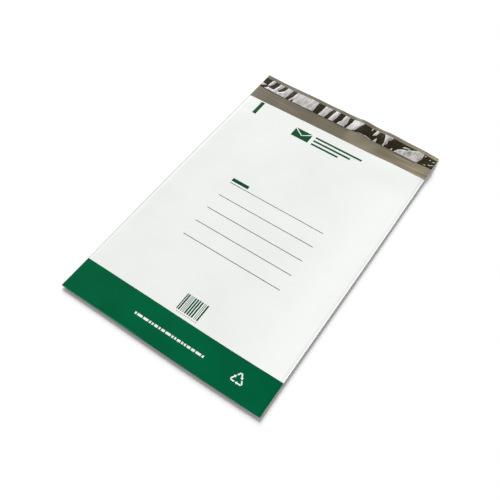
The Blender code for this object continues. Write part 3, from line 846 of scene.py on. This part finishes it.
def addTree(piece, tree, values):
    step = piece.modifiers.new(tree.name, "NODES")
    step.node_group = tree
    for item in tree.interface.items_tree:
        if item.in_out == "INPUT" and item.name in values:
            step[item.identifier] = values[item.name]


def flatShapes(name, outlines):
    shapes = bmesh.new()
    for outline in outlines:
        face = shapes.faces.new([shapes.verts.new((x, y, 0.0)) for x, y in outline])
        face.normal_update()
        if face.normal.z < 0:
            face.normal_flip()
    bmesh.ops.triangulate(shapes, faces=shapes.faces)
    mesh = bpy.data.meshes.new(name)
    shapes.to_mesh(mesh)
    shapes.free()
    made = bpy.data.objects.new(name, mesh)
    bpy.context.scene.collection.objects.link(made)
    return made


def rectangle(left, low, width, height):
    return [(left, low), (left + width, low), (left + width, low + height), (left, low + height)]


def envelopeOutlines():
    (width, height), left = printing["envelope"], printing["headerLeft"]
    top = mouthY - printing["headerFromMouth"]
    low, middle, right = top - height, left + width / 2, left + width
    flapTip = top - printing["flapDepth"]
    slope = printing["flapDepth"] / (width / 2)
    inset = printing["flapGap"] * printing["flapInset"]
    flap = [(left + inset, top), (middle, flapTip), (right - inset, top)]
    drop = printing["flapGap"] * math.sqrt(1 + slope * slope)
    body = [(left, low), (right, low), (right, top - drop), (middle, flapTip - drop), (left, top - drop)]
    return [flap, body]


def stripeOutlines():
    top = mouthY - printing["headerFromMouth"] - printing["stripeHeight"]
    left, height, pitch = printing["stripeLeft"], printing["stripeHeight"], printing["stripePitch"]
    return [rectangle(left, top - i * pitch, length, height)
            for i, length in enumerate(printing["stripeLengths"])]


def arrowOutlines():  # three arrows chase each other clockwise round a triangle, one outline each
    centre = Vector((printing["triangleX"], foldY + printing["triangleY"]))
    half = printing["triangleWeight"] / 2
    headWidth, headLength = printing["arrowHead"]
    turns = [math.radians(90 - 120 * i) for i in range(3)]
    corners = [Vector((math.cos(turn), math.sin(turn))) * printing["triangleRadius"] for turn in turns]
    outlines = []
    for i, corner in enumerate(corners):
        previous, following = corners[i - 1], corners[(i + 1) % 3]
        arriving, leaving = (corner - previous).normalized(), (following - corner).normalized()
        bend = printing["triangleBend"] * half
        neck = corner.lerp(following, printing["arrowNeck"])
        tail = previous.lerp(corner, printing["arrowTail"])
        route = [(tail, arriving), (corner - arriving * bend, arriving),
                 (corner + leaving * bend, leaving), (neck, leaving)]
        left = [place + Vector((-way.y, way.x)) * half for place, way in route]
        right = [place - Vector((-way.y, way.x)) * half for place, way in route]
        wide = Vector((-leaving.y, leaving.x)) * half * headWidth
        head = [neck + wide, neck + leaving * half * headLength, neck - wide]
        outlines.append([tuple(centre + point) for point in left + head + right[::-1]])
    return outlines


markRow = markRowTree()
press = pressTree()


def pressedPiece(name, outlines, rows, ink):
    piece = flatShapes(name, outlines)
    addTree(piece, press, {"Film": bagFilm, "Fineness": printing["fineness"], "Lift": printing["inkLift"],
                           "Thickness": printing["inkThickness"], "Ink": ink})
    for row in rows:
        left, low = row["Start"]
        addTree(piece, markRow, {"Turn": (0.0, 0.0, 0.0), **row, "Start": (left, foldY + low, 0.0)})
    for i in range(len(rows)):  # the rows come before the press
        piece.modifiers.move(len(piece.modifiers) - 1, i)
    bpy.context.view_layer.update()
    pressed = bpy.data.meshes.new_from_object(piece.evaluated_get(bpy.context.evaluated_depsgraph_get()))
    piece.modifiers.clear()
    piece.data = pressed
    return piece


markLow = mouthY - printing["markFromMouth"] - printing["mark"][1]
lineRight, lowestLine = lineRow["Start"]
topLine = foldY + lowestLine + (lineRow["Count"] - 1) * (lineRow["Module"] + lineRow["Gap"])
greenOutlines = envelopeOutlines() + stripeOutlines() + [
    rectangle(bagLow.x + printing["markFromSide"], markLow, *printing["mark"]),
    rectangle(lineRight - lineRow["Height"], topLine + printing["tabAboveLine"], *printing["tab"])]
greenPrint = pressedPiece("greenPrint", greenOutlines, [lineRow, barRow, tickRow], printInk)
whitePrint = pressedPiece("whitePrint", arrowOutlines(), [dashRow], whiteFilm)
print("print:", len(greenPrint.data.polygons), "green and", len(whitePrint.data.polygons), "white faces")


# Each piece hangs from the root body, and the CAD parts they replace are hidden

for piece, slotName in ((bagFilm, "film"), (greenPrint, "film"), (whitePrint, "film"),
                        (adhesive, "adhesive"), (liner, "liner")):
    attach(piece, "root")
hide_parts("film_bag")
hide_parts("adhesive_strip")
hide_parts("release_liner")


# Floor, light and camera

studio = {
    "floorSize": 8.0, "floorColour": linear(250, 250, 250), "floorGlow": 0.06,
    "sky": 0.31, "sunPower": 5.3, "sunSpread": 28.0, "sunFrom": (-0.55, 0.73, 0.41),
    "cameraPlace": (0.21739, -0.39488, 0.60556), "cameraTurn": 30.745, "cameraDip": 56.234,
    "cameraRoll": 3.996, "cameraLens": 47.458,
}


def seenDirectly(maker):  # 1 for the rays that show a background, straight, mirrored or through glass
    seen = [maker.add("ShaderNodeLightPath", out=name)
            for name in ("Is Camera Ray", "Is Glossy Ray", "Is Transmission Ray")]
    return seen[0].math("MAXIMUM", seen[0].math("MAXIMUM", seen[0], seen[1]), seen[2])


def makeFloor():
    half = studio["floorSize"] / 2
    mesh = bpy.data.meshes.new("floor")
    corners = [(-half, -half, 0), (half, -half, 0), (half, half, 0), (-half, half, 0)]
    mesh.from_pydata(corners, [], [(0, 1, 2, 3)])
    floor = bpy.data.objects.new("floor", mesh)
    bpy.context.scene.collection.objects.link(floor)
    made, maker, _ = newMaterial("pale floor")
    lit = maker.add("ShaderNodeBsdfDiffuse", {}, {"Color": (*studio["floorColour"], 1.0)})
    glow = maker.add("ShaderNodeEmission", {}, {"Strength": seenDirectly(maker) * studio["floorGlow"]})
    both = maker.add("ShaderNodeAddShader", {}, {0: lit, 1: glow})
    maker.finish(both)
    mesh.materials.append(made)
    return floor


def makeLight():
    world = bpy.data.worlds.new("studio")
    world.use_nodes = True
    world.node_tree.nodes.clear()
    maker = Maker(world.node_tree)
    strength = studio["sky"] + seenDirectly(maker) * (1.0 - studio["sky"])
    sky = maker.add("ShaderNodeBackground", {}, {"Color": (1.0, 1.0, 1.0, 1.0), "Strength": strength})
    maker.finish(sky, "ShaderNodeOutputWorld")
    bpy.context.scene.world = world
    sun = bpy.data.lights.new("window light", "SUN")
    sun.energy = studio["sunPower"]
    sun.angle = math.radians(studio["sunSpread"])
    lamp = bpy.data.objects.new("window light", sun)
    lamp.rotation_mode = "QUATERNION"
    lamp.rotation_quaternion = Vector(studio["sunFrom"]).to_track_quat("Z", "Y")
    bpy.context.scene.collection.objects.link(lamp)


def makeCamera():
    lens = bpy.data.cameras.new("camera")
    lens.lens = studio["cameraLens"]
    camera = bpy.data.objects.new("camera", lens)
    turn, dip = math.radians(studio["cameraTurn"]), math.radians(studio["cameraDip"])
    look = Vector((-math.sin(turn) * math.cos(dip), math.cos(turn) * math.cos(dip), -math.sin(dip)))
    camera.location = studio["cameraPlace"]
    camera.rotation_mode = "QUATERNION"
    roll = Quaternion((0.0, 0.0, 1.0), math.radians(studio["cameraRoll"]))
    camera.rotation_quaternion = look.to_track_quat("-Z", "Y") @ roll
    bpy.context.scene.collection.objects.link(camera)
    bpy.context.scene.camera = camera


floor = makeFloor()
makeLight()
makeCamera()
bpy.context.scene.view_settings.view_transform = "Standard"
print("studio ready")
